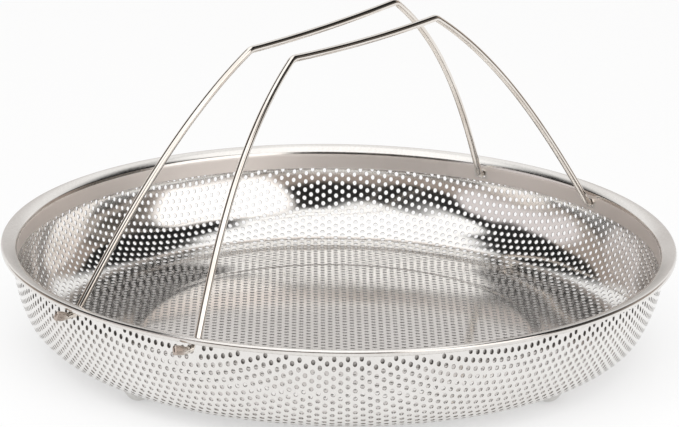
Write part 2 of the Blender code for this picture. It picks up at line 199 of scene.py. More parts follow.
def bowl_profile():
    """Outer face of the sheet from the middle of the floor to its upper edge, as (radius, height).

    The floor rises by a smoothstep to its pressed middle. The corner and the wall are two arcs
    that meet in one direction. The corners left between the pieces are rounded by averaging the
    points over a short length, as a press would round them.
    """
    grip = RIM_TOP - INNER_LEG_DEPTH - 2 * SEAT_GAP
    corner_top = FLOOR_HEIGHT + CORNER_RADIUS * (1 - math.sin(WALL_FOOT_LEAN))
    bulge = (grip - corner_top) / (math.sin(WALL_FOOT_LEAN) - math.sin(WALL_TOP_LEAN))
    middle_r = WALL_RADIUS - bulge * math.cos(WALL_TOP_LEAN)
    middle_z = grip + bulge * math.sin(WALL_TOP_LEAN)
    floor_edge = middle_r + (bulge - CORNER_RADIUS) * math.cos(WALL_FOOT_LEAN)
    radius = np.linspace(0.0, floor_edge, FLOOR_POINTS)
    slope_end = CENTRE_RADIUS + CENTRE_SLOPE_WIDTH / 2
    rise = CENTRE_RISE * smoothstep((slope_end - radius) / CENTRE_SLOPE_WIDTH)
    floor = np.stack([radius, FLOOR_HEIGHT + rise], axis=1)
    foot_deg = math.degrees(WALL_FOOT_LEAN)
    top_deg = math.degrees(WALL_TOP_LEAN)
    corner_middle = (floor_edge, FLOOR_HEIGHT + CORNER_RADIUS)
    corner = arc(corner_middle, CORNER_RADIUS, -90.0, -foot_deg, ARC_STEPS)
    wall = arc((middle_r, middle_z), bulge, -foot_deg, -top_deg, ARC_STEPS)
    line = np.concatenate([floor, corner[1:], wall[1:], [[WALL_RADIUS, SHEET_TOP]]])
    length = np.concatenate([[0.0], np.cumsum(np.hypot(*np.diff(line, axis=0).T))])
    even = np.arange(0.0, length[-1], PROFILE_STEP)
    even_line = np.stack([np.interp(even, length, line[:, i]) for i in (0, 1)], axis=1)
    half = int(SOFTENING / PROFILE_STEP / 2)
    window = np.full(2 * half + 1, 1.0 / (2 * half + 1))
    before = 2 * even_line[:1] - even_line[half:0:-1]
    after = 2 * even_line[-1:] - even_line[-2:-half - 2:-1]
    padded = np.concatenate([before, even_line, after])
    return np.stack([np.convolve(padded[:, i], window, "valid") for i in (0, 1)], axis=1)


profile = bowl_profile()
print("sheet from the middle to its edge: %.1f mm" % (len(profile) * PROFILE_STEP * 1000))

# %% [markdown]
# ## Drawing the flat sheet
#
# Perforated sheet is bought flat, with holes in rows 60 degrees apart, and the press bends and
# stretches it. A pattern that is simply wrapped round the bowl would look wrong, because on the
# wall the real holes are squeezed sideways and stretched upwards. Drawing keeps the area of the
# sheet, so the flat radius that belongs to a place on the profile follows from the area inside
# it. A press also leaves the wall a little wavy, which is what makes the reflections in it
# wander. Everything on the sheet is made flat and then goes through this one map.

# %% From the flat blank to the drawn bowl
TIDY = 1e-9
segment = np.hypot(*np.diff(profile, axis=0).T)
ring_area = (profile[1:, 0] + profile[:-1, 0]) * segment
blank_radius = np.sqrt(np.concatenate([[0.0], np.cumsum(ring_area)]))
BLANK_EDGE = float(blank_radius[-1])
WAVE_HEIGHT = 0.00012
WAVE_START = 0.104
WAVE_END = 0.0075
WAVES_ROUND = ((5, 0.8, 0.5), (8, 2.1, -0.6), (13, 4.0, 0.9), (21, 5.3, -1.4))
# The last 100 mm of the profile, which hold the whole wall.
WALL = slice(-1000, None)


def wall_wave(flat, rho):
    """How far the wall bulges out: sines round the bowl, each turned a little on its way up.

    They fade out towards the floor's corner and towards the edge, where the rim holds the
    sheet, by a squared sine.
    """
    share = np.clip((rho - WAVE_START) / (BLANK_EDGE - WAVE_END - WAVE_START), 0.0, 1.0)
    turn = np.arctan2(flat[:, 1], flat[:, 0])
    waves = sum(
        np.sin(count * turn + phase + twist * math.pi * share) for count, phase, twist in WAVES_ROUND
    )
    return WAVE_HEIGHT * waves * np.sin(math.pi * share) ** 2


def drawn(flat):
    """Where points of the flat blank end up on the sheet's outer face.

    The direction from the middle stays. The flat radius is the square root of twice the
    integral of radius along the profile, and it is read backwards here.
    """
    rho = np.hypot(flat[:, 0], flat[:, 1])
    radius = np.interp(rho, blank_radius, profile[:, 0]) + wall_wave(flat, rho)
    height = np.interp(rho, blank_radius, profile[:, 1])
    share = radius / np.maximum(rho, TIDY)
    return np.stack([flat[:, 0] * share, flat[:, 1] * share, height], axis=1)


def sheet_normals(flat, step=0.0002):
    """Outward directions of the outer face: the cross product of its two slopes."""
    east = drawn(flat + [step, 0.0]) - drawn(flat - [step, 0.0])
    north = drawn(flat + [0.0, step]) - drawn(flat - [0.0, step])
    normal = np.cross(north, east)
    return normal / np.linalg.norm(normal, axis=1)[:, None]


def blank_point(y, z, side):
    """The flat point that ends up on the wall at this y and height, on the side of that sign of x."""
    rho = np.interp(z, profile[WALL, 1], blank_radius[WALL])
    radius = np.interp(z, profile[WALL, 1], profile[WALL, 0])
    x = side * np.sqrt(radius**2 - y**2)
    return np.stack([x, y], axis=-1) * (rho / radius)[..., None]


print("flat disc: %.0f mm across" % (2 * BLANK_EDGE * 1000))

# %% [markdown]
# ## The perforation
#
# The sheet has round holes of just under 2 mm at a pitch of 3 mm. Cutting thousands of them with
# a Boolean would take very long and leave ragged faces. Here each hole brings its own six-sided
# cell of sheet. Neighbouring cells share their corners, so the cells close to one sheet, and a
# cell costs only six dozen faces. Near the rim there is room for a hole but not for its whole
# cell, and such lone holes are kept apart for the next step.

# %% Cells with holes on the flat blank
HOLE_PITCH = 0.0030
HOLE_RADIUS = 0.00088
EDGE_ROUND = 0.00010
HOLE_SIDES = 12
PATTERN_TURN = math.radians(40.5)
EDGE_WEB = 0.0006
PIVOT_HOLE_RADIUS = 0.0016
PIVOT_WEB = 0.0037
LONE_WEB = 0.0003
SPARE_REACH = 1.3

step_a, step_b = HOLE_PITCH * on_circle(PATTERN_TURN + np.array([0.0, math.pi / 3]))
reach = int(BLANK_EDGE / HOLE_PITCH * SPARE_REACH)
row, column = [g.ravel() for g in np.meshgrid(*[np.arange(-reach, reach)] * 2, indexing="ij")]
sites = row[:, None] * step_a + column[:, None] * step_b
from_middle = np.hypot(*sites.T)
inside = from_middle < BLANK_EDGE - EDGE_WEB - HOLE_PITCH / math.sqrt(3)
pivot_flat = np.array([blank_point(p[1], p[2], side) for p in PIVOTS.values() for side in (1, -1)])
from_pivot = np.linalg.norm(sites[:, None] - pivot_flat[None], axis=2).min(axis=1)
whole = inside & (from_pivot > PIVOT_WEB)
lone_room = LONE_WEB + HOLE_RADIUS
room = (from_middle < BLANK_EDGE - lone_room) & (from_pivot > PIVOT_HOLE_RADIUS + lone_room)
lone_sites = sites[room & ~whole]
row, column, sites = row[whole], column[whole], sites[whole]
print("holes with whole cells: %d, lone holes: %d" % (len(sites), len(lone_sites)))


# %% Corners shared by the cells
def corner_keys(row, column):
    """Six corners of each cell as (row, column, kind), anticlockwise.

    A corner is the middle of three sites. Kind 0 lies between a site and its neighbours along
    a and b, kind 1 between a site and its neighbours along b and b minus a.
    """
    keys = [(0, 0, 0), (0, 0, 1), (-1, 0, 0), (0, -1, 1), (0, -1, 0), (1, -1, 1)]
    shifted = [np.stack([row + r, column + c, np.full_like(row, k)], axis=1) for r, c, k in keys]
    return np.stack(shifted, axis=1)


keys = corner_keys(row, column).reshape(-1, 3)
table, corner_of_cell = np.unique(keys, axis=0, return_inverse=True)
corner_of_cell = corner_of_cell.reshape(-1, 6)
kind_offset = np.array([(step_a + step_b) / 3, (2 * step_b - step_a) / 3])
corner_flat = table[:, :1] * step_a + table[:, 1:2] * step_b + kind_offset[table[:, 2]]
hole_ring = HOLE_RADIUS * on_circle(PATTERN_TURN + math.pi / 6 + full_turn(HOLE_SIDES))
hole_sites = np.concatenate([sites, lone_sites])
hole_flat = (hole_sites[:, None] + hole_ring[None]).reshape(-1, 2)
FIRST_HOLE_POINT = len(corner_flat)
hole_points_of = FIRST_HOLE_POINT + np.arange(len(hole_flat)).reshape(-1, HOLE_SIDES)
hole_of_cell, lone_holes = hole_points_of[:len(sites)], hole_points_of[len(sites):]
print("corners: %d, points round the holes: %d" % (len(corner_flat), len(hole_flat)))


# %% Faces of the cells
def cell_faces(corners, holes):
    """Faces of the ring between a cell's six corners and its round hole.

    Every second point of the hole faces a corner. So the ring is six times three triangles:
    one on the edge between two corners, and one beside it at each of them.
    """
    later = np.roll(corners, -1, axis=1)
    near, middle, far = holes[:, 0::2], holes[:, 1::2], np.roll(holes[:, 0::2], -1, axis=1)
    first = np.stack([corners, middle, near], axis=2).reshape(-1, 3)
    second = np.stack([corners, later, middle], axis=2).reshape(-1, 3)
    third = np.stack([later, far, middle], axis=2).reshape(-1, 3)
    return np.concatenate([first, second, third])


def open_edges(faces):
    """Directed edges that belong to one face only, as (from, to)."""
    edges = np.concatenate([ring_edges(f) for f in faces])
    ordered = np.sort(edges, axis=1).astype(np.int64)
    code = ordered[:, 0] * (ordered.max() + 1) + ordered[:, 1]
    _, where, count = np.unique(code, return_inverse=True, return_counts=True)
    return edges[count[where] == 1]


# %% [markdown]
# ## The plain band
#
# The cells end in a ragged line near the rim, where no whole hole fits. The band between that
# line and the round edge has no rule to follow, so it is left to a constrained triangulation:
# it takes the ragged line, the lone holes, the edge circle and the four pivot holes as fixed
# lines and fills what is between them.


# %% Fill the band between the cells, the edge and the pivot holes
def nearest_site(points):
    """Lattice numbers of the site nearest to each point: round three axes, mend the worst one."""
    along = np.linalg.solve(np.stack([step_a, step_b], axis=1), points.T)
    cube = np.stack([along[0], along[1], -along[0] - along[1]], axis=1)
    whole = np.round(cube)
    error = np.abs(whole - cube)
    worst = error.argmax(axis=1)
    rows = np.arange(len(points))
    whole[rows, worst] -= whole.sum(axis=1)
    return whole[:, :2].astype(int)


EDGE_STEPS = 720
PIVOT_STEPS = 24
ROW_CODE = 4096
edge_flat = BLANK_EDGE * on_circle(full_turn(EDGE_STEPS))
pivot_circle = PIVOT_HOLE_RADIUS * on_circle(full_turn(PIVOT_STEPS))
pivot_rings = [
    blank_point(*(p[1:] + pivot_circle).T, side) for p in PIVOTS.values() for side in (1, -1)
]
all_cells = cell_faces(corner_of_cell, hole_of_cell)
border = open_edges([all_cells])
border = border[border[:, 0] < FIRST_HOLE_POINT]
border_points, border_index = np.unique(border, return_inverse=True)
rings = [edge_flat] + pivot_rings
FIRST_RING_POINT = FIRST_HOLE_POINT + len(hole_flat)
ring_starts = np.cumsum([0] + [len(r) for r in rings])
lone_flat = hole_flat[len(sites) * HOLE_SIDES:]
band_points = np.concatenate([corner_flat[border_points], lone_flat] + rings)
ring_points = FIRST_RING_POINT + np.arange(ring_starts[-1])
band_names = np.concatenate([border_points, lone_holes.ravel(), ring_points])
lone_around = len(border_points) + np.arange(len(lone_flat)).reshape(-1, HOLE_SIDES)
fixed = [border_index.reshape(-1, 2), ring_edges(lone_around)]
for start, ring in zip(ring_starts, rings):
    fixed.append(ring_edges(len(border_points) + len(lone_flat) + start + np.arange(len(ring))))
fixed = np.concatenate(fixed).tolist()
filled = delaunay_2d_cdt([Vector(p) for p in band_points.tolist()], fixed, [], 0, TIDY)
source = np.array([names[0] for names in filled[3]])
band = source[np.array(filled[2])]
middle = band_points[band].mean(axis=1)
in_cells = np.isin(nearest_site(middle) @ np.array([ROW_CODE, 1]), row * ROW_CODE + column)
to_lone = np.linalg.norm(middle[:, None] - lone_sites[None], axis=2).min(axis=1)
in_opening = to_lone < HOLE_RADIUS * math.cos(math.pi / HOLE_SIDES)
for ring in pivot_rings:
    centre = ring.mean(axis=0)
    in_opening |= np.linalg.norm(middle - centre, axis=1) < np.linalg.norm(ring - centre, axis=1).min()
band = band_names[band[~in_cells & ~in_opening]]
flat_points = np.concatenate([corner_flat, hole_flat] + rings)
print("triangles in the plain band: %d" % len(band))

# %% [markdown]
# ## Giving the sheet its thickness
#
# A Solidify modifier would do it, but here the exact direction of the surface is known at every
# point, so the inner face is the outer one moved inwards along it. The same directions are
# stored as normals, because averages over thin triangles would make polished metal look
# dented. Punching and polishing round the edges of every hole, and these small roundings catch
# the light: they make a hole look wide against dark steel and narrow against bright steel. The
# sheet is kept as five pieces, each closed, to keep every mesh at a handy size.


# %% Thicken faces of the flat blank into a closed piece of sheet
hole_inward = np.zeros((len(flat_points), 3))
hole_points = slice(FIRST_HOLE_POINT, FIRST_RING_POINT)
hole_middles = np.repeat(drawn(hole_sites), HOLE_SIDES, axis=0)
hole_inward[hole_points] = hole_middles - drawn(flat_points[hole_points])
surface_normal = sheet_normals(flat_points)
hole_inward -= surface_normal * (hole_inward * surface_normal).sum(axis=1)[:, None]
hole_inward /= np.maximum(np.linalg.norm(hole_inward, axis=1), TIDY)[:, None]


def sheet_piece(name, faces):
    """Outer face, inner face and three strips along every open edge, from triangles of the blank.

    The first strip turns from the outer face into the hole, the second is the hole's own wall
    and the third turns out to the inner face. On an edge that belongs to no hole all three lie
    in one line.
    """
    used, local = np.unique(faces, return_inverse=True)
    local = local.reshape(-1, 3)
    count = len(used)
    outer, normal, flat = drawn(flat_points[used]), surface_normal[used], flat_points[used]
    edges = open_edges([local])
    along, ends = np.unique(edges, return_inverse=True)
    ends = ends.reshape(-1, 2)
    inward = hole_inward[used][along]
    wall_top, wall_end = [
        outer[along] + inward * EDGE_ROUND - normal[along] * depth
        for depth in (EDGE_ROUND, SHEET_THICKNESS - EDGE_ROUND)
    ]
    rows = [edges, 2 * count + ends, 2 * count + len(along) + ends, edges + count]
    strips = [np.concatenate([row, later[:, ::-1]], axis=1) for row, later in zip(rows, rows[1:])]
    faces = [local[:, ::-1], local + count] + strips
    corners = np.concatenate([f.ravel() for f in faces])
    piece = make_piece(
        name, np.concatenate([outer, outer - normal * SHEET_THICKNESS, wall_top, wall_end]), faces,
        "basket", "perforated_bowl",
        normals=np.concatenate([normal, -normal, inward, inward])[corners],
        corner_uv=np.concatenate([flat, flat, flat[along], flat[along]])[corners],
    )
    mark_points(piece, "punched", np.repeat([0.0, 1.0], [2 * count, 2 * len(along)]))
    return piece


PIECE_NAMES = ("bowl_middle", "bowl_floor", "bowl_corner", "bowl_wall", "bowl_brim")
site_radius = np.hypot(*sites.T)
limits = np.quantile(site_radius, np.linspace(0.0, 1.0, len(PIECE_NAMES) + 1)[1:-1])
part_of = np.searchsorted(limits, site_radius)
bowl_pieces = []
for number, name in enumerate(PIECE_NAMES):
    own = part_of == number
    own_faces = [cell_faces(corner_of_cell[own], hole_of_cell[own])]
    if name == "bowl_brim":
        own_faces.append(band)
    bowl_pieces.append(sheet_piece(name, np.concatenate(own_faces)))

# %% [markdown]
# ## The rim strip
#
# One steel strip is folded over the sheet's edge: an inner leg, a flange that rises outwards, a
# rolled edge, and a short outer leg beside the sheet. A Screw modifier would turn the
# outline as well, but a grid of points lets the pivot holes be cut cleanly.

# %% The strip's outline
STRIP_THICKNESS = 0.0005
FLANGE_OUTER_SLOPE = math.radians(6.0)
FLANGE_CROWN = 0.0100
BEAD_HALF_WIDTH = 0.00085
BEAD_HALF_HEIGHT = 0.00105
BEND_RADIUS = 0.0009
LEG_CURVE_RADIUS = 0.0047
LEG_CURVE_TURN = math.radians(24.0)
OUTER_LEG_DEPTH = 0.0034
LEG_OUT = WALL_RADIUS - SHEET_THICKNESS - SEAT_GAP
LEG_IN = LEG_OUT - STRIP_THICKNESS
SKIRT_IN = WALL_RADIUS + SEAT_GAP
SKIRT_OUT = SKIRT_IN + STRIP_THICKNESS
LEG_ROWS = 11
FIRST_ROW = 0.0005
BEAD_STEPS = 30
CROWN_STEPS = 12
LEG_CURVE_STEPS = 8
BEND_STEPS = 10
CUT_STEPS = 6


def leaning(lean):
    """Unit direction that leans inwards from straight up: minus its sine and its cosine."""
    return np.array([-math.sin(lean), math.cos(lean)])


def rim_outline():
    """The strip's outline as (radius, height) points, up its inner side first.

    The inner leg is straight up to its last row. There it leans out by a wide arc, and a tight
    one then bends it into the flange. The flange is a flat arc itself and rises less and less
    towards the rolled edge, an upright ellipse. The slope where bend and flange meet follows
    from the width between them. The cut edges of both legs are half circles. The rows of the
    inner leg stand at the same heights on both of its faces, so that a hole can go through.
    """
    size = np.array([BEAD_HALF_WIDTH, BEAD_HALF_HEIGHT])
    bead = np.array([RIM_RADIUS, RIM_TOP]) - size
    upward = leaning(FLANGE_OUTER_SLOPE)
    reach = np.linalg.norm(size * upward)
    top = bead + size**2 * upward / reach
    crown = top - FLANGE_CROWN * upward
    spare = LEG_CURVE_RADIUS - BEND_RADIUS
    bend_radius_out = LEG_IN + BEND_RADIUS + spare * (1 - math.cos(LEG_CURVE_TURN))
    inner_slope = math.asin((crown[0] - bend_radius_out) / (FLANGE_CROWN - BEND_RADIUS))
    slopes = np.linspace(inner_slope, FLANGE_OUTER_SLOPE, CROWN_STEPS + 1)[1:-1]
    flange = np.array([crown + FLANGE_CROWN * leaning(s) for s in slopes])
    under = np.array([crown + (FLANGE_CROWN - 2 * STRIP_THICKNESS) * leaning(s) for s in slopes[::-1]])
    bend = crown + (FLANGE_CROWN - BEND_RADIUS) * leaning(inner_slope)
    leg_curve = bend + spare * np.array([math.cos(LEG_CURVE_TURN), -math.sin(LEG_CURVE_TURN)])
    leg_turn = math.degrees(LEG_CURVE_TURN)
    first = math.atan2(size[1] * upward[1], size[0] * upward[0])
    last = first + math.acos(1 - 2 * STRIP_THICKNESS / reach) - 2 * math.pi
    roll = np.linspace(first, last, BEAD_STEPS + 1)[:, None]
    leg_end = RIM_TOP - INNER_LEG_DEPTH
    skirt_end = RIM_TOP - OUTER_LEG_DEPTH
    rows = np.linspace(leg_end + FIRST_ROW, leg_curve[1], LEG_ROWS + 1)
    half = STRIP_THICKNESS / 2
    return np.concatenate([
        np.stack([np.full(len(rows), LEG_IN), rows], axis=1),
        arc(leg_curve, LEG_CURVE_RADIUS, 180.0, 180.0 - leg_turn, LEG_CURVE_STEPS)[1:],
        arc(bend, BEND_RADIUS, 180.0 - leg_turn, 90.0 + math.degrees(inner_slope), BEND_STEPS)[1:],
        flange,
        bead + size * np.concatenate([np.cos(roll), np.sin(roll)], axis=1),
        under[under[:, 0] > SKIRT_OUT],
        [(SKIRT_OUT, np.interp(SKIRT_OUT, under[::-1, 0], under[::-1, 1]))],
        arc((SKIRT_IN + half, skirt_end + half), half, 0.0, -180.0, CUT_STEPS),
        [(SKIRT_IN, SHEET_TOP + SEAT_GAP), (LEG_OUT, SHEET_TOP + SEAT_GAP)],
        np.stack([np.full(len(rows), LEG_OUT), rows[::-1]], axis=1),
        arc((LEG_IN + half, leg_end + half), half, 0.0, -180.0, CUT_STEPS),
    ])


outline = rim_outline()
print("points in the strip's outline: %d" % len(outline))
hole_top = max(p[2] for p in PIVOTS.values()) + PIVOT_HOLE_RADIUS
print("straight leg above the pivot holes: %.2f mm" % ((outline[LEG_ROWS, 1] - hole_top) * 1000))


# %% Turn the outline and open the pivot holes
RIM_STEPS = 720
BLOCK_HALF = 3
BLOCK_LOW = 1
BLOCK_HIGH = 11


def make_rim():
    """The outline turned round Z, with a round hole through the inner leg at each pivot.

    A block of quads is left out on both faces of the leg. The rectangle round it is joined to
    a circle with as many points: each lies from the pivot in the direction of its partner.
    """
    count = len(outline)
    angles = full_turn(RIM_STEPS)
    radius, height = outline[:, :1], outline[:, 1:]
    points = np.stack(
        [radius * np.cos(angles), radius * np.sin(angles), height + 0 * angles], axis=2
    ).reshape(-1, 3)
    quads = turned_grid(count, RIM_STEPS)
    whole = np.ones((count, RIM_STEPS), bool)
    rows_in = np.arange(BLOCK_LOW, BLOCK_HIGH + 1)
    rows_out = count - (CUT_STEPS + 1) - 1 - rows_in
    wide, high = 2 * BLOCK_HALF, BLOCK_HIGH - BLOCK_LOW
    across, up = np.arange(wide), np.arange(high)
    row_pick = np.concatenate([0 * across, up, np.full(wide, high), high - up])
    column_pick = np.concatenate([across, np.full(high, wide), wide - across, 0 * up])
    extra_points, extra_faces = [], []
    base = len(points)
    for pivot in PIVOTS.values():
        for side in (1, -1):
            turn = math.atan2(pivot[1], side * math.sqrt(LEG_IN**2 - pivot[1] ** 2))
            centre = round(turn / (2 * math.pi / RIM_STEPS))
            columns = np.arange(centre - BLOCK_HALF, centre + BLOCK_HALF + 1) % RIM_STEPS
            whole[np.ix_(rows_in[:-1], columns[:-1])] = False
            whole[np.ix_(rows_out[1:], columns[:-1])] = False
            loops, circles = [], []
            for rows, leg in ((rows_in, LEG_IN), (rows_out, LEG_OUT)):
                loop = rows[row_pick] * RIM_STEPS + columns[column_pick]
                away = points[loop][:, 1:] - np.array(pivot[1:])
                away /= np.linalg.norm(away, axis=1)[:, None]
                y, z = (np.array(pivot[1:]) + PIVOT_HOLE_RADIUS * away).T
                extra_points.append(np.stack([side * np.sqrt(leg**2 - y**2), y, z], axis=1))
                loops.append(loop)
                circles.append(base + np.arange(len(loop)))
                base += len(loop)
            (loop_in, loop_out), (circle_in, circle_out) = loops, circles
            later = [np.roll(a, -1) for a in (loop_in, loop_out, circle_in, circle_out)]
            extra_faces += [
                np.stack([loop_in, circle_in, later[2], later[0]], axis=1),
                np.stack([loop_out, later[1], later[3], circle_out], axis=1),
                np.stack([later[2], circle_in, circle_out, later[3]], axis=1),
            ]
    faces = [quads[whole]] + extra_faces
    return make_piece(
        "rim_strip", np.concatenate([points] + extra_points), faces,
        "basket", "rim_ring", crease_deg=40.0,
    )


rim = make_rim()


# %% Mark the two faces of the leg: painted shade on the outer one, in the gap behind the sheet, and painted light on the inner one, which is also rougher
PIVOT_MARGIN = 0.00003


def mark_leg(piece, label, leg):
    """A value of 1 on the points of the leg's face at this radius, but not round the pivots."""
    place = np.empty(len(piece.data.vertices) * 3, np.float32)
    piece.data.vertices.foreach_get("co", place)
    x, y, z = place.reshape(-1, 3).T
    marked = (np.abs(np.hypot(x, y) - leg) < STRIP_THICKNESS / 4) & (z < SHEET_TOP)
    for pivot in PIVOTS.values():
        marked &= np.hypot(y - pivot[1], z - pivot[2]) > PIVOT_HOLE_RADIUS + PIVOT_MARGIN
    mark_points(piece, label, marked)
    print("points left %s: %d" % (label, marked.sum()))


# The leg's outer face sits in the narrow gap behind the sheet. Its darker colour there is painted shade, and
# it is also made rougher.
mark_leg(rim, "painted_gap_shade", LEG_OUT)
# The leg's inner face gets more roughness, which is real, and a lighter, warmer colour than the rest of the
# strip, which is painted light.
mark_leg(rim, "satin_and_painted_light", LEG_IN)

# %% [markdown]
# ## The wire bails
#
# Each bail is one wire. It comes in through its hole, turns up in a tight elbow, climbs in a
# bowed arm, bends over to the grip and mirrors itself. Its ends are hammered flat so that they
# can't slip back. A curve object with a round bevel could follow the path, but it can't flatten
# the ends, so a round section is carried along the path and squashed there.

# %% The path of a bail in its own plane
WIRE_RADIUS = 0.00125
BAIL_HEIGHT = 0.0832
GRIP_HALF_LENGTH = 0.0390
GRIP_SAG = 0.0010
BACK_GRIP_RISE = 0.0015
FRONT_GRIP_RISE = 0.0
ARM_BOW = 0.0067
ARM_BOW_BIAS = 0.26
GRIP_BEND_RADIUS = 0.0045
EYE_BEND_RADIUS = 0.0025
ARM_WALL_CLEARANCE = 0.0015
STUB_LENGTH = 0.0080
SPADE_LENGTH = 0.0060
SPADE_RISE = 0.0016
SPADE_HALF_WIDTH = 0.00165
SPADE_HALF_THICKNESS = 0.0008
BACK_LEAN = math.radians(9.9)
FRONT_LEAN = math.radians(-13.6)
GRIP_STEPS = 400
ARM_STEPS = 800
BEND_POINTS = 60
STRAIGHT_POINTS = 20
SPADE_START = 0.4


def bowed(start, end, bow, steps, bias=0.0):
    """A parabola from start to end, bulging to its left by bow and by bias more near its start."""
    span = end - start
    left = np.array([-span[1], span[0]]) / np.linalg.norm(span)
    share = np.arange(steps + 1)[:, None] / steps
    return start + span * share + left * bow * 4 * share * (1 - share) * (1 + bias * (1 - 2 * share))


def rounded(corner, before, after, radius, steps):
    """The arc of a bend that replaces a corner between two unit directions, and its reach."""
    half = math.acos(np.clip(before @ after, -1, 1)) / 2
    reach = radius / math.tan(half)
    middle = (before + after) / np.linalg.norm(before + after)
    centre = corner + middle * radius / math.sin(half)
    start, end = corner + before * reach - centre, corner + after * reach - centre
    turn = math.pi - 2 * half
    share = np.arange(steps + 1)[:, None] / steps
    return centre + (start * np.sin((1 - share) * turn) + end * np.sin(share * turn)) / math.sin(turn), reach


def bail_half(axis_y, grip_rise):
    """Middle line of half a bail as (along the axis, up), from the grip's middle to one end."""
    low = np.array([math.sqrt(LEG_IN**2 - axis_y**2) - ARM_WALL_CLEARANCE, 0.0])
    high = np.array([GRIP_HALF_LENGTH, BAIL_HEIGHT + grip_rise])
    far_high = np.array([-GRIP_HALF_LENGTH, BAIL_HEIGHT - grip_rise])
    stub_x = math.sqrt(WALL_RADIUS**2 - axis_y**2) + STUB_LENGTH
    grip = bowed(far_high, high, -GRIP_SAG, GRIP_STEPS)
    arm = bowed(high, low, ARM_BOW, ARM_STEPS, ARM_BOW_BIAS)
    ways = (grip[-2] - grip[-1], arm[1] - arm[0], arm[-2] - arm[-1])
    back, down, up = [way / np.linalg.norm(way) for way in ways]
    bend, bend_reach = rounded(high, back, down, GRIP_BEND_RADIUS, BEND_POINTS)
    eye, eye_reach = rounded(low, up, np.array([1.0, 0.0]), EYE_BEND_RADIUS, BEND_POINTS)
    grip = grip[(grip[:, 0] > TIDY) & (np.linalg.norm(grip - high, axis=1) > bend_reach)]
    arm = arm[np.linalg.norm(arm - high, axis=1) > bend_reach]
    arm = arm[np.linalg.norm(arm - low, axis=1) > eye_reach]
    root = stub_x - SPADE_LENGTH
    straight = np.linspace([eye[-1, 0], 0.0], [root, 0.0], STRAIGHT_POINTS)[1:]
    share = np.linspace(0.0, 1.0, BEND_POINTS)[1:, None]
    rise = SPADE_RISE * share * smoothstep(SPADE_START + share)
    spade = np.concatenate([root + SPADE_LENGTH * share, rise], axis=1)
    return np.concatenate([grip, bend, arm, eye, straight, spade])


def length_along(line):
    """Length of the line from its start to each of its points: the steps added up."""
    return np.concatenate([[0.0], np.cumsum(np.linalg.norm(np.diff(line, axis=0), axis=1))])


# %% Carry the wire's section along the path
SECTION_POINTS = 24
RINGS = 240
BEND_WEIGHT = 0.12
TIP_WEIGHT = 0.6
TIP_LENGTH = 0.0009
FLAT_PART = 0.6
SQUARING = 0.45


def wire_rings(axis_y, grip_rise):
    """Middles, sideways directions and half sizes of the wire's sections, end to end.

    The half at -x mirrors one whose grip drops instead of rising. Sections stand closer where
    the path bends: their spacing follows the turn of the path added to its length. The half
    sizes pass from round to flat by a smoothstep, and at the very ends they shrink as a
    quarter ellipse.
    """
    other = bail_half(axis_y, -grip_rise) * [-1.0, 1.0]
    path = np.concatenate([other[::-1], bail_half(axis_y, grip_rise)])
    length = length_along(path)
    direction = np.gradient(path, length, axis=0)
    heading = np.unwrap(np.arctan2(direction[:, 1], direction[:, 0]))
    turned = np.concatenate([[0.0], np.cumsum(np.abs(np.diff(heading)))])
    weight = 2 * length / length[-1] + BEND_WEIGHT * turned
    weight += TIP_WEIGHT * smoothstep((length - length[-1] + 2 * TIP_LENGTH) / (2 * TIP_LENGTH))
    weight += TIP_WEIGHT * smoothstep(length / (2 * TIP_LENGTH))
    even = np.linspace(0.0, weight[-1], RINGS)
    at = np.interp(even, weight, length)
    middle = np.stack([np.interp(at, length, path[:, i]) for i in (0, 1)], axis=1)
    turn = np.interp(at, length, heading)
    side = np.stack([-np.sin(turn), np.cos(turn)], axis=1)
    to_end = np.minimum(at, length[-1] - at)
    flat = smoothstep(1.0 - (to_end - SPADE_LENGTH * FLAT_PART) / (SPADE_LENGTH * (1 - FLAT_PART)))
    tip = np.clip(to_end / TIP_LENGTH, 0.0, 1.0)
    closing = np.sqrt(1.0 - (1.0 - tip) ** 2)
    wide = (WIRE_RADIUS + flat * (SPADE_HALF_WIDTH - WIRE_RADIUS)) * closing
    thin = (WIRE_RADIUS + flat * (SPADE_HALF_THICKNESS - WIRE_RADIUS)) * closing
    return middle, side, wide, thin, flat


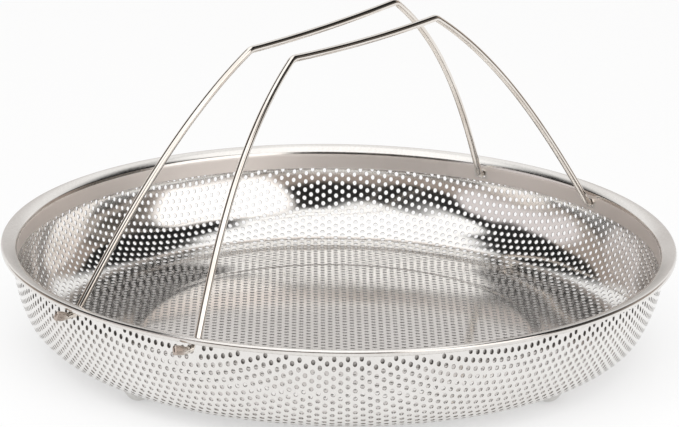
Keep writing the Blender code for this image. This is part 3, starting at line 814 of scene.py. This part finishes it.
def make_bail(name, body, lean, grip_rise):
    """Sections in the bail's plane, closed by a point at both ends, leaning about the axis.

    A section is a superellipse: cosine and sine raised to a power that falls below one where
    the wire is flattened, which gives it flat sides and round edges.
    """
    pivot = PIVOTS[body]
    middle, side, wide, thin, squareness = wire_rings(pivot[1], grip_rise)
    power = (1.0 - SQUARING * squareness)[1:-1, None]
    cosine, sine = [np.sign(c) * np.abs(c) ** power for c in on_circle(full_turn(SECTION_POINTS)).T]
    in_plane = wide[1:-1, None] * cosine
    across = thin[1:-1, None] * sine
    x = middle[1:-1, :1] + side[1:-1, :1] * in_plane
    up = middle[1:-1, 1:] + side[1:-1, 1:] * in_plane
    rings = np.stack([x, across, up], axis=2).reshape(-1, 3)
    ends = np.insert(middle[[0, -1]], 1, 0.0, axis=1)
    points = np.concatenate([rings, ends])
    turn = np.array([
        [1, 0, 0], [0, math.cos(lean), -math.sin(lean)], [0, math.sin(lean), math.cos(lean)],
    ])
    points = points @ turn.T + np.array([0.0, pivot[1], pivot[2]])
    quads = turned_grid(len(middle) - 2, SECTION_POINTS)[:-1].reshape(-1, 4)
    first_ring = np.arange(SECTION_POINTS)
    starts = fan(len(rings), first_ring)
    stops = fan(len(rings) + 1, first_ring + len(rings) - SECTION_POINTS)[:, [0, 2, 1]]
    along = length_along(middle)[1:-1]
    round_length = WIRE_RADIUS * 2 * math.pi
    step_of = quads[:, :1] % SECTION_POINTS + np.array([0, 0, 1, 1])
    around = step_of / SECTION_POINTS * round_length
    uv = np.stack([along[quads // SECTION_POINTS], around], axis=2).reshape(-1, 2)
    cap_uv = np.zeros((6 * SECTION_POINTS, 2))
    cap_uv[3 * SECTION_POINTS:, 0] = along[-1]
    wire = make_piece(
        name, points, [quads, starts, stops], body, body,
        corner_uv=np.concatenate([uv, cap_uv]), crease_deg=60.0,
    )
    hammered = np.concatenate([np.repeat(squareness[1:-1], SECTION_POINTS), squareness[[0, -1]]])
    mark_points(wire, "hammered", hammered)
    return wire


back_wire = make_bail("back_wire", "back_bail", BACK_LEAN, BACK_GRIP_RISE)
front_wire = make_bail("front_wire", "front_bail", FRONT_LEAN, FRONT_GRIP_RISE)

# %% [markdown]
# ## The feet
#
# Four small domes are welded under the corner of the bowl. Each has a round bottom and spreads
# a little where it meets the sheet. Its top follows the bowl's curve, so it is worked out from
# the same profile.

# %% Domes that end on the bowl's outer face
FOOT_RADIUS = 0.0045
FOOT_STEPS = 48
FOOT_ROWS = 14
CAP_ROWS = 4
FOOT_SEAT = 0.00005
FOOT_FLARE = 0.0004
FOOT_CLEARANCE = 0.0001


def seat_height(x, y):
    """Height of the bowl's outer face over a point, less a hair's breadth."""
    radius = np.hypot(x, y)
    floor_and_corner = profile[:, 1] < FLOOR_HEIGHT + CORNER_RADIUS / 2
    return np.interp(radius, profile[floor_and_corner, 0], profile[floor_and_corner, 1]) - FOOT_SEAT


def make_foot(name, node):
    """A dome round the middle of its solid: down by a circle's arc, up to the seat, then a cap.

    The rows run from the lowest point out to the seat and over the top back to the middle.
    """
    low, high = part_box(node)
    centre = np.array([(low.x + high.x) / 2, (low.y + high.y) / 2])
    dome = (FOOT_RADIUS**2 + FLOOR_HEIGHT**2) / (2 * FLOOR_HEIGHT)
    share = np.arange(1, FOOT_ROWS + 1) / FOOT_ROWS
    open_angle = math.asin(FOOT_RADIUS / dome)
    radius = dome * np.sin(open_angle * share) + FOOT_FLARE * share**6
    height = dome * (1 - np.cos(open_angle * share))
    cap_radius = radius[-1] * np.arange(CAP_ROWS, 0, -1) / CAP_ROWS
    all_radius = np.concatenate([radius[:-1], cap_radius])
    x, y = centre[:, None, None] + all_radius[:, None] * on_circle(full_turn(FOOT_STEPS)).T[:, None]
    seat = seat_height(x, y)
    below, above = seat[:FOOT_ROWS - 1] - FOOT_CLEARANCE, seat[FOOT_ROWS - 1:]
    z = np.concatenate([np.minimum(height[:-1, None], below), above])
    poles = np.array([[*centre, 0.0], [*centre, seat_height(*centre)]])
    points = np.concatenate([np.stack([x, y, z], axis=2).reshape(-1, 3), poles])
    quads = turned_grid(len(all_radius), FOOT_STEPS)[:-1].reshape(-1, 4)[:, [0, 3, 2, 1]]
    first_ring = np.arange(FOOT_STEPS)
    bottom = fan(len(points) - 2, first_ring)[:, [0, 2, 1]]
    top = fan(len(points) - 1, first_ring + (len(all_radius) - 1) * FOOT_STEPS)
    return make_piece(name, points, [quads, bottom, top], "basket", node)


feet = [make_foot("dome_%d" % (i + 1), "foot_%d" % (i + 1)) for i in range(4)]

# %% [markdown]
# ## Finishes
#
# All pieces are bare stainless steel, so colour comes mostly from what they reflect. What tells
# them apart is the fine structure: rolled grain on the sheet, fine upright streaks on the strip,
# and draw marks along the wire. Each finish is one shader with noise on colour, roughness and
# bump. Where a pattern follows the piece it reads the piece's own map: the flat blank for the
# sheet, the unrolled surface for the wire. The points marked above take a colour and roughness
# of their own: the punched edges, the hammered ends, painted shade on the leg's outer face, and
# painted light on the leg's inner face, which is also given more roughness.


# %% Building shaders
def plug(tree, node, sockets):
    """Set a node's sockets, each to a value or to another node's output."""
    for socket, value in sockets.items():
        if isinstance(value, bpy.types.NodeSocket):
            tree.links.new(value, node.inputs[socket])
        else:
            node.inputs[socket].default_value = value
    return node


def add_node(tree, kind, sockets, **settings):
    """A new shader node of this kind, with its settings made and its sockets plugged."""
    node = tree.nodes.new("ShaderNode" + kind)
    for name, value in settings.items():
        setattr(node, name, value)
    return plug(tree, node, sockets)


def mixed(tree, share, under, over):
    """The colour under, replaced by the colour over by this share."""
    return add_node(tree, "Mix", {0: share, 6: under, 7: over}, data_type="RGBA").outputs[2]


# %% A steel finish
FINE_SHARE = 0.5
NOISE_LOW = 0.55
NOISE_HIGH = 0.95
GRAIN_DEPTH = 0.00002
# The first mark is painted shade: a dark colour on the leg's outer face, in the gap behind the sheet, with
# more roughness.
# The second mark is painted light: a lighter, warmer colour on the leg's inner face, along with a real rise
# in roughness.
STRIP_MARKS = (("painted_gap_shade", (0.52, 0.50, 0.48), 0.35), ("satin_and_painted_light", (0.97, 0.91, 0.87), 0.32))
SHEET_MARKS = (("punched", (0.56, 0.54, 0.52), 0.10),)
WIRE_MARKS = (("hammered", (0.50, 0.43, 0.38), 0.10),)


def steel(
    name, dark, light, rough_low, rough_high, grain, grain_bump, cloud_scale, source="UV", marks=(),
):
    """A metal with a stretched grain and soft clouds.

    grain scales the noise along the pattern's first and second direction. Clouds of a larger
    noise move the colour from dark to light and the roughness from low to high. Each of the
    marks, (label, colour, roughness), gives the points marked so a colour of their own and adds
    to their roughness.
    """
    material = bpy.data.materials.new(name)
    material.use_nodes = True
    tree = material.node_tree
    place = add_node(tree, "TexCoord", {}).outputs
    stretch = add_node(tree, "Mapping", {"Scale": grain, "Vector": place[source]}).outputs["Vector"]
    fine = add_node(tree, "TexNoise", {"Scale": 1.0, "Detail": 4.0, "Vector": stretch}).outputs["Fac"]
    clouds = add_node(
        tree, "TexNoise", {"Scale": cloud_scale, "Detail": 3.0, "Vector": place["Object"]},
    ).outputs["Fac"]
    both = add_node(tree, "Math", {0: fine, 1: FINE_SHARE, 2: clouds}, operation="MULTIPLY_ADD")
    spread = add_node(
        tree, "MapRange", {"From Min": NOISE_LOW, "From Max": NOISE_HIGH, "Value": both.outputs["Value"]},
    ).outputs["Result"]
    colour = mixed(tree, spread, (*dark, 1.0), (*light, 1.0))
    rough = add_node(tree, "MapRange", {"To Min": rough_low, "To Max": rough_high, "Value": spread})
    roughness = rough.outputs["Result"]
    for label, marked_colour, more_roughness in marks:
        mark = add_node(tree, "Attribute", {}, attribute_name=label).outputs["Fac"]
        colour = mixed(tree, mark, colour, (*marked_colour, 1.0))
        roughen = {0: mark, 1: more_roughness, 2: roughness}
        roughness = add_node(tree, "Math", roughen, operation="MULTIPLY_ADD").outputs["Value"]
    bump = add_node(tree, "Bump", {"Strength": grain_bump, "Distance": GRAIN_DEPTH, "Height": fine})
    plug(tree, tree.nodes["Principled BSDF"], {
        "Metallic": 1.0, "Base Color": colour, "Roughness": roughness, "Normal": bump.outputs["Normal"],
    })
    return material


sheet_steel = steel(
    "polished sheet", (0.79, 0.77, 0.745), (0.86, 0.845, 0.825), 0.08, 0.14, (60.0, 900.0, 1.0), 0.25, 25.0,
    marks=SHEET_MARKS,
)
strip_steel = steel(
    "satin strip", (0.74, 0.71, 0.68), (0.84, 0.82, 0.79), 0.12, 0.22, (900.0, 900.0, 1.0), 0.3, 30.0,
    "Object", STRIP_MARKS,
)
wire_steel = steel(
    "drawn wire", (0.74, 0.68, 0.62), (0.90, 0.86, 0.81), 0.07, 0.13, (90.0, 3000.0, 1.0), 0.5, 60.0,
    marks=WIRE_MARKS,
)
foot_steel = steel(
    "pressed foot", (0.66, 0.65, 0.63), (0.76, 0.75, 0.73), 0.14, 0.24, (700.0, 700.0, 700.0), 0.3, 80.0,
    "Object",
)
for pieces, finish in (
    (bowl_pieces, sheet_steel), ([rim], strip_steel),
    ([back_wire, front_wire], wire_steel), (feet, foot_steel),
):
    for piece in pieces:
        piece.data.materials.append(finish)
print("finishes: %s" % sorted(m.name for m in bpy.data.materials))

# %% [markdown]
# ## The studio
#
# Polished steel shows whatever stands round it. The studio has a white floor and backdrop, a
# large soft light overhead and darker surroundings at the sides. The floor and the world give
# the white; the darker parts of the world give the metal its dark bands.

# %% Floor
FLOOR_SIZE = 1.6
floor_mesh = bpy.data.meshes.new("studio_floor")
corners = FLOOR_SIZE * np.array([[-1, -1, 0], [1, -1, 0], [1, 1, 0], [-1, 1, 0]])
floor_mesh.from_pydata(corners.tolist(), [], [(0, 1, 2, 3)])
floor = add_object("studio_floor", floor_mesh)
FLOOR_GLOW = 0.80
SHADED_GLOW = 0.05
# Under the basket the floor's glow falls off in a soft disc, from FLOOR_GLOW at BRIGHT_RADIUS down to
# SHADED_GLOW at SHADED_RADIUS. This is a painted shadow, on top of the real shadow in the matt part.
SHADED_RADIUS = 0.064
BRIGHT_RADIUS = 0.122
WHITE = (1.0, 1.0, 1.0, 1.0)

paper = bpy.data.materials.new("white paper")
paper.use_nodes = True
tree = paper.node_tree
matt = plug(tree, tree.nodes["Principled BSDF"], {
    "Base Color": (0.9, 0.9, 0.9, 1.0), "Roughness": 1.0, "Specular IOR Level": 0.0,
})
glow = add_node(tree, "Emission", {"Color": WHITE})
path = add_node(tree, "LightPath", {}).outputs
seen = add_node(tree, "Math", {0: path["Is Camera Ray"], 1: path["Is Glossy Ray"]}, operation="MAXIMUM")
place = add_node(tree, "TexCoord", {}).outputs["Object"]
# Painted shadow: less glow the nearer a point lies to the floor's middle, under the basket.
distance = add_node(tree, "VectorMath", {0: place}, operation="LENGTH").outputs["Value"]
amount = add_node(tree, "MapRange", {
    "From Min": SHADED_RADIUS, "From Max": BRIGHT_RADIUS, "To Min": SHADED_GLOW, "To Max": FLOOR_GLOW,
    "Value": distance,
}, interpolation_type="SMOOTHSTEP")
share = {0: seen.outputs["Value"], 1: amount.outputs["Result"]}
blend = add_node(tree, "MixShader", {
    "Fac": add_node(tree, "Math", share, operation="MULTIPLY").outputs["Value"],
    1: matt.outputs["BSDF"], 2: glow.outputs["Emission"],
})
plug(tree, tree.nodes["Material Output"], {"Surface": blend.outputs["Shader"]})
floor_mesh.materials.append(paper)

# %% World
# Each panel is a round patch of the sky that lies over the ones before it: its name, its turn
# clockwise from the view's far side, its height, its radius and the half width of its soft edge,
# all in degrees, and its colour.
SOFTBOX = (1.3, 1.3, 1.3)
LEFT_CARD = (0.80, 0.75, 0.75)
PANELS = [
    ("dark overhead", 180.0, 80.5, 69.5, 1.5, (0.02, 0.02, 0.02)),
    ("dark right side", 88.0, 6.0, 18.0, 5.0, (0.10, 0.09, 0.08)),
    ("white backdrop", 0.0, 8.0, 42.0, 5.0, (1.0, 1.0, 1.0)),
    ("grey far side", 0.0, 0.0, 27.0, 5.0, (0.70, 0.68, 0.67)),
    ("grey far side's middle", 0.0, 0.0, 11.0, 4.0, (0.52, 0.505, 0.49)),
    ("softbox, camera side", 190.0, 62.0, 31.5, 2.5, SOFTBOX),
    ("softbox, camera side's corner", 215.0, 55.0, 25.0, 2.5, SOFTBOX),
    ("softbox, middle", 0.0, 90.0, 27.0, 2.5, SOFTBOX),
    ("softbox, far side", 0.0, 66.0, 18.0, 2.5, SOFTBOX),
    ("right reflector", 134.0, 20.0, 25.0, 2.0, (1.55, 1.50, 1.47)),
    ("left reflector, near", 232.0, 13.0, 8.0, 2.0, LEFT_CARD),
    ("left reflector, middle", 245.0, 15.0, 9.0, 2.0, LEFT_CARD),
    ("left reflector, far", 258.0, 15.0, 10.0, 2.0, LEFT_CARD),
    ("left reflector, end", 271.0, 13.0, 8.0, 2.0, LEFT_CARD),
]
ROOM_COLOUR = (0.38, 0.32, 0.28)
VIEW_TURN_DEG = 39.8


def direction(turn_deg, elevation_deg):
    """Unit vector at a turn clockwise from the view's far side and at a height over the horizon."""
    turn, elevation = math.radians(VIEW_TURN_DEG - turn_deg), math.radians(elevation_deg)
    level = math.cos(elevation)
    return Vector((math.cos(turn) * level, math.sin(turn) * level, math.sin(elevation)))


world = bpy.data.worlds.new("studio")
bpy.context.scene.world = world
world.use_nodes = True
tree = world.node_tree
where = add_node(tree, "TexCoord", {}).outputs["Generated"]
so_far = (*ROOM_COLOUR, 1.0)
for label, turn_deg, elevation_deg, spread_deg, edge_deg, colour in PANELS:
    toward = add_node(
        tree, "VectorMath", {0: where, 1: direction(turn_deg, elevation_deg)}, operation="DOT_PRODUCT",
    )
    share = add_node(tree, "MapRange", {
        "From Min": math.cos(math.radians(spread_deg + edge_deg)),
        "From Max": math.cos(math.radians(spread_deg - edge_deg)), "Value": toward.outputs["Value"],
    })
    so_far = mixed(tree, share.outputs["Result"], so_far, (*colour, 1.0))
    so_far.node.label = label
seen = add_node(tree, "LightPath", {}).outputs["Is Camera Ray"]
plug(tree, tree.nodes["Background"], {"Color": mixed(tree, seen, so_far, WHITE)})
print("panels of the studio: %d" % len(PANELS))

# %% Lamp over the floor, which isn't seen in the steel
LAMP_DISTANCE = 1.3
lamp_data = bpy.data.lights.new("overhead_softbox", "AREA")
lamp_data.shape = "RECTANGLE"
lamp_data.size = 1.2
lamp_data.size_y = 0.8
lamp_data.energy = 7.2
lamp = add_object("overhead_softbox", lamp_data)
lamp.visible_glossy = False
away = direction(190.0, 62.0)
lamp.location = away * LAMP_DISTANCE
lamp.rotation_euler = away.to_track_quat("Z", "Y").to_euler()

# %% [markdown]
# ## The camera
#
# The photograph looks down on the basket by about 17 degrees through a long lens, from the
# front right of the bails. Camera and lens were worked out from the ellipse of the rim.

# %% Camera at the photograph's viewing angle
VIEW_TURN = math.radians(-50.189)
VIEW_DOWN = math.radians(17.411)
VIEW_ROLL = math.radians(0.948)
VIEW_DISTANCE = 10.0294
VIEW_SIDE = 0.0025
VIEW_HEIGHT = 3.2213
LENS = 188.2
away = direction(0.0, 0.0)
aside = Vector((away.y, -away.x, 0.0))
camera_data = bpy.data.cameras.new("camera")
camera_data.lens = LENS
camera_data.sensor_width = 36.0
camera = add_object("camera", camera_data)
camera.location = RIM_RADIUS * (VIEW_SIDE * aside - VIEW_DISTANCE * away)
camera.location.z = RIM_TOP + VIEW_HEIGHT * RIM_RADIUS
turned = Euler((0, 0, VIEW_TURN)).to_matrix()
tilted = Euler((math.pi / 2 - VIEW_DOWN, 0, 0)).to_matrix()
rolled = Euler((0, 0, VIEW_ROLL)).to_matrix()
camera.rotation_euler = (turned @ tilted @ rolled).to_euler()
bpy.context.scene.camera = camera
bpy.context.scene.view_settings.view_transform = "Standard"
print("camera at", [round(c, 3) for c in camera.location])
